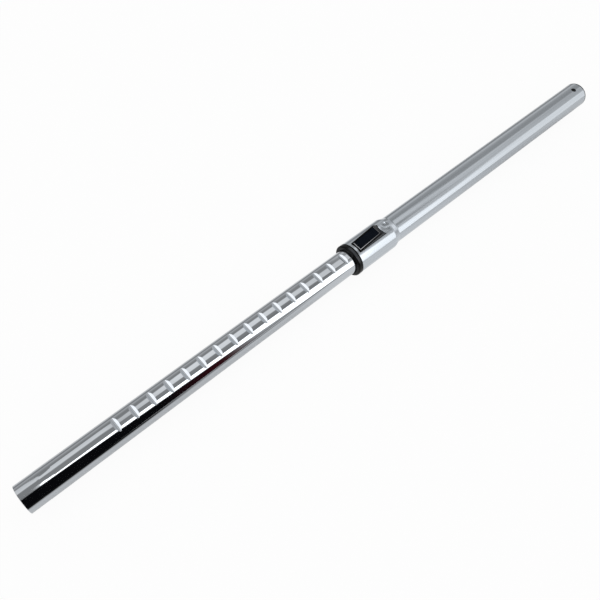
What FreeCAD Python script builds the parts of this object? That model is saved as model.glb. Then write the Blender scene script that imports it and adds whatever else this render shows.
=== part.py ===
import FreeCAD, Part
import Sketcher
import math
import os

# Telescopic vacuum wand, lying along X. The origin is the centre of the handle socket's mouth, +X points out
# of that mouth, +Z is the button side, and the lower end that takes the floor head is towards -X.

doc = FreeCAD.newDocument("telescopic_wand")
sheet = doc.addObject("Spreadsheet::Sheet", "Sheet")

DRIVING_SIZES = (
    ("tube_od", 35.0, "inner tube: outside diameter"),
    ("tube_wall", 0.7, "inner tube: wall"),
    ("tube_length", 611.0, "inner tube: length"),
    ("spigot_relief", 0.15, "inner tube: radial step down to the sized end for the floor head"),
    ("spigot_length", 21.5, "inner tube: length of the sized end"),
    ("spigot_taper", 1.5, "inner tube: taper from the sized end up to the round"),
    ("flat_depth", 0.75, "inner tube: depth of the key flat below the round"),
    ("flat_start", 24.0, "inner tube: lower end to the start of the key flat"),
    ("flat_runout", 16.0, "inner tube: length over which the key flat sinks in"),
    ("notch_first", 115.0, "inner tube: lower end to the first notch"),
    ("notch_pitch", 23.0, "inner tube: notch spacing"),
    ("notch_end", 80.0, "inner tube: least distance of the last notch to the hidden end"),
    ("notch_spare", 2, "inner tube: number of notches above the one that the tooth rests in"),
    ("notch_depth", 2.75, "inner tube: depth of a notch below the round"),
    ("notch_floor", 1.2, "inner tube: length of a notch at its floor"),
    ("notch_mouth", 8.6, "inner tube: length of a notch at the round"),
    ("tube_gap", 1.4, "radial gap between the two tubes"),
    ("outer_wall", 0.8, "outer tube: wall"),
    ("outer_length", 534.7, "outer tube: length with its collar"),
    ("collar_length", 66.0, "outer tube: length of the collar"),
    ("neck_length", 9.0, "outer tube: length of the neck behind the collar"),
    ("neck_round", 8.0, "outer tube: radius of the neck's two bends"),
    ("window_setback", 3.4, "outer tube: collar mouth to the window"),
    ("window_length", 51.0, "outer tube: length of the button's window, to the tips of its upper end"),
    ("window_width", 18.6, "outer tube: width of the button's window"),
    ("window_round", 1.2, "outer tube: lower corner radius of the window"),
    ("window_scoop", 4.0, "outer tube: how far the thumb dish's round edge reaches into the window"),
    ("dish_radius", 17.5, "outer tube: radius of the thumb dish"),
    ("dish_depth", 2.8, "outer tube: depth of the thumb dish"),
    ("dish_setback", 4.6, "outer tube: window to the centre of the thumb dish"),
    ("catch_diameter", 8.0, "outer tube: handle catch hole"),
    ("catch_setback", 19.0, "handle socket mouth to the catch hole"),
    ("flange_length", 7.5, "guide sleeve: length of the flange"),
    ("flange_proud", 0.3, "guide sleeve: radial step of the flange over the collar"),
    ("flange_round", 2.4, "guide sleeve: radius that the flange's front edge is rounded to, in two facets"),
    ("flange_lip", 0.8, "guide sleeve: chamfer of the bore's front edge"),
    ("sleeve_wall", 4.05, "guide sleeve: wall between the inner tube and the collar"),
    ("sleeve_length", 62.5, "guide sleeve: length inside the collar"),
    ("slide_clearance", 0.2, "guide sleeve: gap to the inner tube"),
    ("seat_clearance", 0.1, "gap of a plastic piece to the tube that it is pressed into"),
    ("key_width", 9.6, "guide sleeve: width of the key that runs on the flat"),
    ("pocket_floor", 0.75, "guide sleeve: floor left under the button"),
    ("groove_setback", 2.2, "guide sleeve: flange front to the seal groove"),
    ("seal_width", 3.6, "air seal: width"),
    ("seal_height", 2.0, "air seal: height"),
    ("seal_clearance", 0.1, "air seal: gap all round"),
    ("pivot_setback", 25.1, "button pivot: from the window's lower edge"),
    ("pivot_height", 2.25, "button pivot: height above the pocket floor"),
    ("pin_diameter", 2.0, "pivot pin: diameter"),
    ("pin_length", 15.0, "pivot pin: length"),
    ("pin_running_gap", 0.05, "pivot pin: radial running gap in the button"),
    ("pin_seat_gap", 0.02, "pivot pin: radial gap in the ears"),
    ("ear_wall", 0.55, "guide sleeve: wall of the ears round the pin"),
    ("ear_thickness", 1.3, "guide sleeve: thickness of an ear"),
    ("boss_wall", 0.65, "button: wall of the boss round the pin"),
    ("boss_side_gap", 0.3, "button: gap between the boss and an ear"),
    ("button_gap", 0.35, "button: gap to the window"),
    ("button_top_width", 14.6, "button: width of the top"),
    ("button_proud", 0.5, "button: top at the lower end above the collar's crown"),
    ("button_rise", 8.2, "button: rise of the top over its length"),
    ("button_wall", 1.2, "button: skirt wall"),
    ("button_roof", 4.0, "button: roof under the pad"),
    ("button_edge_bevel", 0.5, "button: bevel of the top edges"),
    ("button_heel", 12.15, "button: length of the slope at the raised end"),
    ("skirt_gap", 0.3, "button: lowest gap to the pocket floor"),
    ("skirt_rise", 2.2, "button: rise of the skirt's lower edge"),
    ("pad_margin_low", 2.4, "thumb pad: lower end of the button to the pad"),
    ("pad_margin_high", 12.95, "thumb pad: raised end of the button to the pad"),
    ("pad_width", 12.6, "thumb pad: width"),
    ("pad_thickness", 0.55, "thumb pad: thickness"),
    ("pad_sink", 0.45, "thumb pad: depth below the button's frame"),
    ("pad_clearance", 0.06, "thumb pad: gap in its recess"),
    ("tooth_inset", 1.1, "pawl: tooth centre above the window's lower edge"),
    ("tooth_tip_gap", 0.25, "pawl: tooth tip above the notch floor"),
    ("tooth_side_gap", 0.35, "pawl: tooth flank to the notch wall, along the tube"),
    ("tooth_head", 0.9, "pawl: height of the tooth's head above the round"),
    ("pawl_width", 11.0, "pawl: width"),
    ("pawl_length", 15.0, "pawl: tooth centre to the end of its plate"),
    ("pawl_thickness", 1.2, "pawl: thickness of its plate"),
    ("pawl_step", 0.6, "pawl: window's lower edge to the step in its plate"),
    ("pawl_clearance", 0.1, "pawl: side gap in the button"),
    ("slot_gap", 0.45, "guide sleeve: gap round the tooth"),
    ("spring_end_gap", 1.25, "return spring: gap to the upper end of the button's hollow"),
    ("spring_reach", 4.0, "return spring: stud to either end of the strip"),
    ("spring_width", 4.6, "return spring: width of the strip"),
    ("spring_strip", 0.4, "return spring: thickness of the strip"),
    ("spring_knee", 1.5, "return spring: height of the bend between foot and arm"),
    ("spring_bend", 0.8, "return spring: outer bend radius"),
    ("spring_gap", 0.1, "return spring: gap under the button's roof"),
    ("stud_diameter", 2.0, "guide sleeve: stud that holds the spring's foot"),
    ("stud_gap", 0.15, "return spring: gap round the stud"),
    ("stud_height", 0.8, "guide sleeve: height of the stud"),
    ("liner_length", 30.0, "handle liner: length"),
    ("socket_clearance", 0.15, "handle liner: radial gap to a spigot of the inner tube's size"),
    ("liner_rim", 1.8, "handle liner: length of the rim outside the tube"),
    ("ring_length", 22.0, "slide ring: length on the inner tube"),
    ("ring_lip", 1.2, "slide ring: lip over the inner tube's end"),
    ("ring_clearance", 0.25, "slide ring: gap to the outer tube"),
    ("ring_seat_gap", 0.05, "slide ring: gap on the inner tube"),
)
for row, (alias, value, meaning) in enumerate(DRIVING_SIZES, start=1):
    sheet.set(f"A{row}", meaning)
    sheet.set(f"B{row}", str(value))
    sheet.setAlias(f"B{row}", alias)
doc.recompute()

# How far a cutting form runs past the surface that it cuts, how close two points count as one, and the share
# of its half width that the round end of an ear or a boss takes: a short straight is left between its arcs.
OVERCUT = 2.0
NEAR = 0.01
ROUND_END = 0.98

# Places along the wand.
TUBE_TOP_END = "(-Sheet.liner_rim)"
MOUTH = f"({TUBE_TOP_END} - Sheet.outer_length)"
NECK_LOW = f"({MOUTH} + Sheet.collar_length)"
NECK_HIGH = f"({NECK_LOW} + Sheet.neck_length)"
WINDOW_LOW = f"({MOUTH} + Sheet.window_setback)"
WINDOW_HIGH = f"({WINDOW_LOW} + Sheet.window_length)"
DISH_X = f"({WINDOW_HIGH} + Sheet.dish_setback)"
SCOOP_R = "((Sheet.window_width^2 / 4 + Sheet.window_scoop^2) / (2 * Sheet.window_scoop))"
SCOOP_X = f"({WINDOW_HIGH} - Sheet.window_scoop + {SCOOP_R})"
TOOTH_X = f"({WINDOW_LOW} + Sheet.tooth_inset)"
PIVOT_X = f"({WINDOW_LOW} + Sheet.pivot_setback)"
BUTTON_LOW = f"({WINDOW_LOW} + Sheet.button_gap)"
BUTTON_HIGH = f"({WINDOW_HIGH} - Sheet.button_gap)"
HOLLOW_HIGH = f"({BUTTON_HIGH} - Sheet.button_heel - Sheet.button_wall)"
SPRING_TIP_X = f"({HOLLOW_HIGH} - Sheet.spring_end_gap)"
SPRING_X = f"({SPRING_TIP_X} - Sheet.spring_reach)"
NOTCH_STEPS = "floor((Sheet.tube_length - Sheet.notch_first - Sheet.notch_end) / Sheet.notch_pitch)"
LOWER_END = f"({TOOTH_X} - Sheet.notch_first - ({NOTCH_STEPS} - Sheet.notch_spare) * Sheet.notch_pitch)"
TUBE_END = f"({LOWER_END} + Sheet.tube_length)"
FLANGE_FRONT = f"({MOUTH} - Sheet.flange_length)"
SLEEVE_END = f"({MOUTH} + Sheet.sleeve_length)"

# Radii about the wand's axis.
TUBE_R = "(Sheet.tube_od / 2)"
OUTER_BORE_R = f"({TUBE_R} + Sheet.tube_gap)"
OUTER_R = f"({OUTER_BORE_R} + Sheet.outer_wall)"
SLEEVE_BORE_R = f"({TUBE_R} + Sheet.slide_clearance)"
SLEEVE_R = f"({SLEEVE_BORE_R} + Sheet.sleeve_wall)"
COLLAR_R = f"({SLEEVE_R} + Sheet.seat_clearance + Sheet.outer_wall)"

# Heights above the wand's axis.
FLAT_Z = f"({TUBE_R} - Sheet.flat_depth)"
KEY_Z = f"({FLAT_Z} + Sheet.slide_clearance)"
POCKET_Z = f"({KEY_Z} + Sheet.pocket_floor)"
PIVOT_Z = f"({POCKET_Z} + Sheet.pivot_height)"
DISH_Z = f"({COLLAR_R} - Sheet.dish_depth + Sheet.dish_radius)"
WINDOW_EDGE_Z = f"sqrt({COLLAR_R}^2 - (Sheet.window_width / 2)^2)"
ABOVE_ALL = f"({COLLAR_R} + Sheet.button_proud + Sheet.button_rise + {OVERCUT})"


def number(expression):
    """The present value of a sheet expression."""
    return float(sheet.evalExpression(expression))


def attach(sketch, role, offset=None):
    """Lay a sketch on one of its body's origin planes, moved along the plane's normal by an expression."""
    body = sketch.getParentGeoFeatureGroup()
    plane = next(item for item in body.Origin.OriginFeatures if item.Role == role)
    sketch.AttachmentSupport = [(plane, "")]
    sketch.MapMode = "FlatFace"
    if offset:
        sketch.setExpression("AttachmentOffset.Base.z", offset)


def bind(sketch, constraint, expression):
    """Add a constraint and drive it from the sheet."""
    index = sketch.addConstraint(constraint)
    name = f"size{index}"
    sketch.renameConstraint(index, name)
    sketch.setExpression(f"Constraints.{name}", expression)


def place_point(sketch, geometry, position, corner):
    """Fix a point of a sketch at two expressions."""
    for kind, expression in zip(("DistanceX", "DistanceY"), corner):
        bind(sketch, Sketcher.Constraint(kind, -1, 1, geometry, position, number(expression)), expression)


def new_sketch(body, name, role, offset=None):
    sketch = body.newObject("Sketcher::SketchObject", name)
    attach(sketch, role, offset)
    return sketch


def outline(body, name, role, corners, offset=None):
    """A closed outline. A corner is two expressions, and a third one rounds it with a tangent arc."""
    sketch = new_sketch(body, name, role, offset)
    points = [FreeCAD.Vector(number(corner[0]), number(corner[1]), 0) for corner in corners]
    radii = [number(corner[2]) if len(corner) > 2 else 0 for corner in corners]
    count = len(corners)
    starts, ends, arcs = list(points), list(points), {}
    for i in range(count):
        if not radii[i]:
            continue
        back = (points[i - 1] - points[i]).normalize()
        ahead = (points[(i + 1) % count] - points[i]).normalize()
        half = back.getAngle(ahead) / 2
        ends[i] = points[i] + back * (radii[i] / math.tan(half))
        starts[i] = points[i] + ahead * (radii[i] / math.tan(half))
        centre = points[i] + (back + ahead).normalize() * (radii[i] / math.sin(half))
        turns_left = back.cross(ahead).z < 0
        first, last = (ends[i], starts[i]) if turns_left else (starts[i], ends[i])
        from_angle = math.atan2(first.y - centre.y, first.x - centre.x)
        to_angle = math.atan2(last.y - centre.y, last.x - centre.x)
        if to_angle < from_angle:
            to_angle += 2 * math.pi
        circle = Part.Circle(centre, FreeCAD.Vector(0, 0, 1), radii[i])
        arcs[i] = (Part.ArcOfCircle(circle, from_angle, to_angle), turns_left)
    lines = [
        sketch.addGeometry(Part.LineSegment(starts[i], ends[(i + 1) % count]), False) for i in range(count)
    ]
    for i, corner in enumerate(corners):
        before, after = lines[i - 1], lines[i]
        if i not in arcs:
            sketch.addConstraint(Sketcher.Constraint("Coincident", before, 2, after, 1))
            place_point(sketch, after, 1, corner[:2])
            continue
        arc, turns_left = arcs[i]
        bend = sketch.addGeometry(arc, False)
        apex = sketch.addGeometry(Part.Point(points[i]), True)
        place_point(sketch, apex, 1, corner[:2])
        sketch.addConstraint(Sketcher.Constraint("PointOnObject", apex, 1, before))
        sketch.addConstraint(Sketcher.Constraint("PointOnObject", apex, 1, after))
        entry, leave = (1, 2) if turns_left else (2, 1)
        sketch.addConstraint(Sketcher.Constraint("Tangent", before, 2, bend, entry))
        sketch.addConstraint(Sketcher.Constraint("Tangent", after, 1, bend, leave))
        bind(sketch, Sketcher.Constraint("Radius", bend, radii[i]), corner[2])
    return sketch


def circle_outline(body, name, role, centre, radius, offset=None):
    sketch = new_sketch(body, name, role, offset)
    middle = FreeCAD.Vector(number(centre[0]), number(centre[1]), 0)
    ring = sketch.addGeometry(Part.Circle(middle, FreeCAD.Vector(0, 0, 1), number(radius)), False)
    place_point(sketch, ring, 3, centre)
    bind(sketch, Sketcher.Constraint("Radius", ring, number(radius)), radius)
    return sketch


def new_body(name):
    body = doc.addObject("PartDesign::Body", name)
    body.Label = name
    return body


def turn(body, name, corners, kind="Revolution"):
    """Revolve an outline about the wand's axis, or cut it away with kind Groove."""
    feature = body.newObject(f"PartDesign::{kind}", name)
    profile = outline(body, f"{name}_profile", "XZ_Plane", corners)
    feature.Profile = profile
    feature.ReferenceAxis = (profile, ["H_Axis"])
    feature.Angle = 360
    doc.recompute()
    return feature


def across(body, name, kind, profile, width=None):
    """Pad or pocket a side outline, evenly to both sides, over a width or through all."""
    feature = body.newObject(f"PartDesign::{kind}", name)
    feature.Profile = profile
    feature.SideType = "Symmetric"
    if width:
        feature.Type = "Length"
        feature.setExpression("Length", width)
    else:
        feature.Type = "ThroughAll"
    doc.recompute()
    return feature


def cut_sphere(body, name, radius):
    """Press the round thumb dish into a body."""
    ball = body.newObject("PartDesign::SubtractiveSphere", name)
    ball.setExpression("Radius", radius)
    ball.setExpression("Placement.Base.x", DISH_X)
    ball.setExpression("Placement.Base.z", DISH_Z)
    doc.recompute()
    return ball


def scoop_end(body, name, radius):
    """Cut the round edge of the thumb dish out of the upper end of a window or a button."""
    plan = circle_outline(body, f"{name}_plan", "XY_Plane", (SCOOP_X, "0"), radius)
    scoop = body.newObject("PartDesign::Pocket", name)
    scoop.Profile = plan
    scoop.Reversed = True
    scoop.setExpression("Length", f"{ABOVE_ALL} + {OVERCUT}")
    doc.recompute()
    return scoop


def cut(name, base, tool):
    result = doc.addObject("Part::Cut", name)
    result.Base = base
    result.Tool = tool
    doc.recompute()
    return result


def upright_cylinder(name, x, radius):
    """A cylinder that stands on the wand's axis and runs out past the button side."""
    post = doc.addObject("Part::Cylinder", name)
    post.setExpression("Radius", radius)
    post.setExpression("Height", ABOVE_ALL)
    post.setExpression("Placement.Base.x", x)
    return post


def inner_tube_form(name, inset):
    """The inner tube's surface as a solid, set in by an expression, flat and notches too."""
    body = new_body(name)
    radius = f"({TUBE_R} - {inset})"
    spigot = f"({radius} - Sheet.spigot_relief)"
    spigot_end = f"({LOWER_END} + Sheet.spigot_length)"
    overrun = OVERCUT if inset != "0" else 0
    turn(body, f"{name}_round", (
        (f"{LOWER_END} - {overrun}", "0"),
        (f"{LOWER_END} - {overrun}", spigot),
        (spigot_end, spigot),
        (f"{spigot_end} + Sheet.spigot_taper", radius),
        (f"{TUBE_END} + {overrun}", radius),
        (f"{TUBE_END} + {overrun}", "0"),
    ))
    flat_z = f"({FLAT_Z} - {inset})"
    cuff = f"({LOWER_END} + Sheet.flat_start)"
    past_end = f"({TUBE_END} + 2 * {OVERCUT})"
    flat = outline(body, f"{name}_flat_side", "XZ_Plane", (
        (cuff, radius),
        (f"{cuff} + Sheet.flat_runout", flat_z),
        (past_end, flat_z),
        (past_end, ABOVE_ALL),
        (cuff, ABOVE_ALL),
    ))
    across(body, f"{name}_flat", "Pocket", flat)
    first = f"({LOWER_END} + Sheet.notch_first)"
    half_floor = f"(Sheet.notch_floor / 2 + {inset} / 2)"
    half_mouth = f"(Sheet.notch_mouth / 2 + {inset} / 2)"
    floor_z = f"({TUBE_R} - Sheet.notch_depth - {inset})"
    notch = outline(body, f"{name}_notch_side", "XZ_Plane", (
        (f"{first} - {half_mouth}", radius),
        (f"{first} - {half_floor}", floor_z),
        (f"{first} + {half_floor}", floor_z),
        (f"{first} + {half_mouth}", radius),
        (f"{first} + {half_mouth}", ABOVE_ALL),
        (f"{first} - {half_mouth}", ABOVE_ALL),
    ))
    press = across(body, f"{name}_notch", "Pocket", notch)
    row = body.newObject("PartDesign::LinearPattern", f"{name}_notches")
    row.Originals = [press]
    row.Direction = (notch, ["H_Axis"])
    row.Mode = "Spacing"
    row.setExpression("Offset", "Sheet.notch_pitch")
    row.setExpression("Occurrences", f"{NOTCH_STEPS} + 1")
    body.Tip = row
    doc.recompute()
    return body


def outer_tube_form(name, inset, dish_radius):
    """The outer tube's surface as a solid, set in by an expression, with the thumb dish pressed in."""
    body = new_body(name)
    collar = f"({COLLAR_R} - {inset})"
    shank = f"({OUTER_R} - {inset})"
    overrun, bend = (0, ("Sheet.neck_round",)) if inset == "0" else (OVERCUT, ())
    turn(body, f"{name}_round", (
        (f"{MOUTH} - {overrun}", "0"),
        (f"{MOUTH} - {overrun}", collar),
        (NECK_LOW, collar) + bend,
        (NECK_HIGH, shank) + bend,
        (f"{TUBE_TOP_END} + {overrun}", shank),
        (f"{TUBE_TOP_END} + {overrun}", "0"),
    ))
    cut_sphere(body, f"{name}_dish", dish_radius)
    return body


def window_form(name):
    """The plan of the button's window, as a block that stands on the wand's axis."""
    body = new_body(name)
    half = "(Sheet.window_width / 2)"
    past_high = f"({WINDOW_HIGH} + Sheet.window_scoop / 2)"
    plan = outline(body, f"{name}_plan", "XY_Plane", (
        (WINDOW_LOW, f"-{half}", "Sheet.window_round"),
        (past_high, f"-{half}"),
        (past_high, half),
        (WINDOW_LOW, half, "Sheet.window_round"),
    ))
    block = body.newObject("PartDesign::Pad", f"{name}_block")
    block.Profile = plan
    block.setExpression("Length", ABOVE_ALL)
    doc.recompute()
    body.Tip = scoop_end(body, f"{name}_scoop", SCOOP_R)
    return body


def make_inner_tube():
    """Chromed steel tube: key flat along the top, cross notches pressed into it, square cut lower end."""
    surface = inner_tube_form("inner_tube_surface", "0")
    hollow = inner_tube_form("inner_tube_hollow", "Sheet.tube_wall")
    return cut("inner_tube", surface, hollow)


def make_outer_tube():
    """Chromed steel tube with its end expanded into the collar, pierced for the button and the catch."""
    surface = outer_tube_form("outer_tube_surface", "0", "Sheet.dish_radius")
    hollow = outer_tube_form("outer_tube_hollow", "Sheet.outer_wall", "Sheet.dish_radius + Sheet.outer_wall")
    drawn = cut("outer_tube_drawn", surface, hollow)
    windowed = cut("outer_tube_windowed", drawn, window_form("window"))
    hole = upright_cylinder("catch_hole", "-Sheet.catch_setback", "Sheet.catch_diameter / 2")
    return cut("outer_tube", windowed, hole)


def make_handle_liner():
    """Plastic liner that takes the handle's spigot, with a rim over the tube's end and the catch hole."""
    body = new_body("handle_liner_turned")
    shank = f"({OUTER_BORE_R} - Sheet.seat_clearance)"
    bore = f"({TUBE_R} + Sheet.socket_clearance)"
    turn(body, "handle_liner_round", (
        ("-Sheet.liner_length", bore),
        ("-Sheet.liner_length", shank),
        (TUBE_TOP_END, shank),
        (TUBE_TOP_END, OUTER_R),
        ("0", OUTER_R),
        ("0", bore),
    ))
    hole = upright_cylinder("liner_catch_hole", "-Sheet.catch_setback", "Sheet.catch_diameter / 2")
    return cut("handle_liner", body, hole)


def make_guide_sleeve():
    """Plastic sleeve in the collar: flange ring, key for the flat, button pocket, pivot ears, spring stud."""
    body = new_body("guide_sleeve")
    flange_r = f"({COLLAR_R} + Sheet.flange_proud)"
    facet = "Sheet.flange_round * (1 - sqrt(0.5))"
    turn(body, "sleeve_round", (
        (f"{FLANGE_FRONT} + Sheet.flange_lip", SLEEVE_BORE_R),
        (FLANGE_FRONT, f"{SLEEVE_BORE_R} + Sheet.flange_lip"),
        (FLANGE_FRONT, f"{flange_r} - Sheet.flange_round"),
        (f"{FLANGE_FRONT} + {facet}", f"{flange_r} - {facet}"),
        (f"{FLANGE_FRONT} + Sheet.flange_round", flange_r),
        (MOUTH, flange_r),
        (MOUTH, SLEEVE_R),
        (SLEEVE_END, SLEEVE_R),
        (SLEEVE_END, SLEEVE_BORE_R),
    ))
    half_key = "(Sheet.key_width / 2)"
    key_top = f"({SLEEVE_BORE_R} + Sheet.pocket_floor / 2)"
    key_start = f"({FLANGE_FRONT} + Sheet.flange_lip)"
    key_end = outline(body, "key_end", "YZ_Plane", (
        (f"-{half_key}", KEY_Z),
        (half_key, KEY_Z),
        (half_key, key_top),
        (f"-{half_key}", key_top),
    ), offset=key_start)
    key = body.newObject("PartDesign::Pad", "key")
    key.Profile = key_end
    key.setExpression("Length", f"{SLEEVE_END} - {key_start}")
    doc.recompute()

    groove_low = f"({FLANGE_FRONT} + Sheet.groove_setback)"
    groove_high = f"({groove_low} + Sheet.seal_width + 2 * Sheet.seal_clearance)"
    groove_r = f"({TUBE_R} + Sheet.seal_height + 2 * Sheet.seal_clearance)"
    turn(body, "seal_groove", (
        (groove_low, f"{FLAT_Z}"),
        (groove_low, groove_r),
        (groove_high, groove_r),
        (groove_high, f"{FLAT_Z}"),
    ), "Groove")

    tooth_reach = f"({TOOTH_HALF_HEAD} + Sheet.slot_gap)"
    pocket_side = outline(body, "pocket_side", "XZ_Plane", (
        (f"{TOOTH_X} - {tooth_reach}", POCKET_Z),
        (WINDOW_HIGH, POCKET_Z),
        (WINDOW_HIGH, ABOVE_ALL),
        (f"{TOOTH_X} - {tooth_reach}", ABOVE_ALL),
    ))
    across(body, "pocket", "Pocket", pocket_side, "Sheet.window_width")
    slot_side = outline(body, "slot_side", "XZ_Plane", (
        (f"{TOOTH_X} - {tooth_reach}", "0"),
        (f"{TOOTH_X} + {tooth_reach}", "0"),
        (f"{TOOTH_X} + {tooth_reach}", ABOVE_ALL),
        (f"{TOOTH_X} - {tooth_reach}", ABOVE_ALL),
    ))
    across(body, "slot", "Pocket", slot_side, "Sheet.pawl_width + 2 * Sheet.slot_gap")
    relief_z = f"({COLLAR_R} - Sheet.dish_depth - Sheet.outer_wall - Sheet.seat_clearance)"
    relief_r = f"sqrt(({DISH_Z} - {relief_z})^2 - ({DISH_Z} - {SLEEVE_R})^2)"
    relief_plan = circle_outline(
        body, "dish_relief_plan", "XY_Plane", (DISH_X, "0"), relief_r, offset=relief_z
    )
    relief = body.newObject("PartDesign::Pocket", "dish_relief")
    relief.Profile = relief_plan
    relief.Reversed = True
    relief.setExpression("Length", ABOVE_ALL)
    doc.recompute()

    ear_r = "(Sheet.pin_diameter / 2 + Sheet.ear_wall)"
    ear_foot = f"({POCKET_Z} - Sheet.pocket_floor / 2)"
    ear_side = outline(body, "ear_side", "XZ_Plane", (
        (f"{PIVOT_X} - {ear_r}", ear_foot),
        (f"{PIVOT_X} + {ear_r}", ear_foot),
        (f"{PIVOT_X} + {ear_r}", f"{PIVOT_Z} + {ear_r}", f"{ear_r} * {ROUND_END}"),
        (f"{PIVOT_X} - {ear_r}", f"{PIVOT_Z} + {ear_r}", f"{ear_r} * {ROUND_END}"),
    ))
    across(body, "ears", "Pad", ear_side, "Sheet.pin_length")
    between_side = outline(body, "between_ears_side", "XZ_Plane", (
        (f"{PIVOT_X} - 2 * {ear_r}", POCKET_Z),
        (f"{PIVOT_X} + 2 * {ear_r}", POCKET_Z),
        (f"{PIVOT_X} + 2 * {ear_r}", ABOVE_ALL),
        (f"{PIVOT_X} - 2 * {ear_r}", ABOVE_ALL),
    ))
    across(body, "between_ears", "Pocket", between_side, "Sheet.pin_length - 2 * Sheet.ear_thickness")
    hole_r = "Sheet.pin_diameter / 2 + Sheet.pin_seat_gap"
    hole_side = circle_outline(body, "ear_hole_side", "XZ_Plane", (PIVOT_X, PIVOT_Z), hole_r)
    across(body, "ear_holes", "Pocket", hole_side, "Sheet.pin_length + Sheet.ear_thickness")

    stud_plan = circle_outline(
        body, "stud_plan", "XY_Plane", (SPRING_X, "0"), "Sheet.stud_diameter / 2", offset=ear_foot
    )
    stud = body.newObject("PartDesign::Pad", "stud")
    stud.Profile = stud_plan
    stud.setExpression("Length", "Sheet.stud_height + Sheet.pocket_floor / 2")
    body.Tip = stud
    doc.recompute()
    return body


def make_air_seal():
    """Rubber ring in the flange's groove, which wipes the inner tube."""
    body = new_body("air_seal")
    low = f"({FLANGE_FRONT} + Sheet.groove_setback + Sheet.seal_clearance)"
    bore = f"({TUBE_R} + Sheet.seal_clearance)"
    turn(body, "seal_round", (
        (low, bore),
        (low, f"{bore} + Sheet.seal_height"),
        (f"{low} + Sheet.seal_width", f"{bore} + Sheet.seal_height"),
        (f"{low} + Sheet.seal_width", bore),
    ))
    return body


def make_slide_ring():
    """Plastic ring on the inner tube's hidden end: guide in the outer tube and pull-out stop."""
    body = new_body("slide_ring")
    ring_r = f"({OUTER_BORE_R} - Sheet.ring_clearance)"
    seat_r = f"({TUBE_R} + Sheet.ring_seat_gap)"
    front = f"({TUBE_END} - Sheet.ring_length)"
    back = f"({TUBE_END} + Sheet.ring_lip)"
    turn(body, "ring_round", (
        (front, seat_r),
        (front, ring_r),
        (back, ring_r),
        (back, f"{TUBE_R} - Sheet.tube_wall"),
        (TUBE_END, f"{TUBE_R} - Sheet.tube_wall"),
        (TUBE_END, seat_r),
    ))
    return body


def make_pivot_pin():
    pin = doc.addObject("Part::Cylinder", "pivot_pin")
    pin.setExpression("Radius", "Sheet.pin_diameter / 2")
    pin.setExpression("Height", "Sheet.pin_length")
    pin.Placement.Rotation = FreeCAD.Rotation(FreeCAD.Vector(1, 0, 0), 90)
    pin.setExpression("Placement.Base.x", PIVOT_X)
    pin.setExpression("Placement.Base.y", "Sheet.pin_length / 2")
    pin.setExpression("Placement.Base.z", PIVOT_Z)
    return pin


# The button, as it lies at rest: its top climbs from the window's lower edge to the raised end at the dish.
BUTTON_SLOPE = f"(Sheet.button_rise / ({BUTTON_HIGH} - {BUTTON_LOW}))"
BUTTON_TOP_LOW = f"({COLLAR_R} + Sheet.button_proud)"
PAD_RECESS = "(Sheet.pad_sink + Sheet.pad_thickness)"

# The tooth, which has the notch's own slope.
NOTCH_SLOPE = "((Sheet.notch_mouth - Sheet.notch_floor) / 2 / Sheet.notch_depth)"
TOOTH_TIP_Z = f"({TUBE_R} - Sheet.notch_depth + Sheet.tooth_tip_gap)"
TOOTH_HALF_TIP = f"(Sheet.notch_floor / 2 + Sheet.tooth_tip_gap * {NOTCH_SLOPE} - Sheet.tooth_side_gap)"
TOOTH_HALF_HEAD = f"({TOOTH_HALF_TIP} + ({TUBE_R} - {TOOTH_TIP_Z}) * {NOTCH_SLOPE})"
TOOTH_HEAD_Z = f"({TUBE_R} + Sheet.tooth_head)"
PLATE_LOW_Z = f"({POCKET_Z} + Sheet.skirt_gap)"
PLATE_HIGH_Z = f"({PLATE_LOW_Z} + Sheet.pawl_thickness)"
PLATE_END = f"({TOOTH_X} + Sheet.pawl_length)"


def button_top(x):
    """Height of the button's top at a place along the wand."""
    return f"({BUTTON_TOP_LOW} + ({x} - {BUTTON_LOW}) * {BUTTON_SLOPE})"


def button_roof(x):
    """Height of the hollow under the button's top."""
    return f"({button_top(x)} - {PAD_RECESS} - Sheet.button_roof)"


def cheek_section(body, name, sign, half, x):
    """What is cut off one side of the button at x, above the slope from its top down to the window's edge."""
    half_top = "(Sheet.button_top_width / 2)"
    cheek_z = f"({WINDOW_EDGE_Z} - Sheet.button_gap)"
    return outline(body, name, "YZ_Plane", (
        (f"{sign}{half}", cheek_z),
        (f"{sign}{half_top}", button_top(x)),
        (f"{sign}{half_top}", f"{ABOVE_ALL} + {OVERCUT}"),
        (f"{sign}({half} + {OVERCUT})", f"{ABOVE_ALL} + {OVERCUT}"),
        (f"{sign}({half} + {OVERCUT})", cheek_z),
    ), offset=x)


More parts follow.
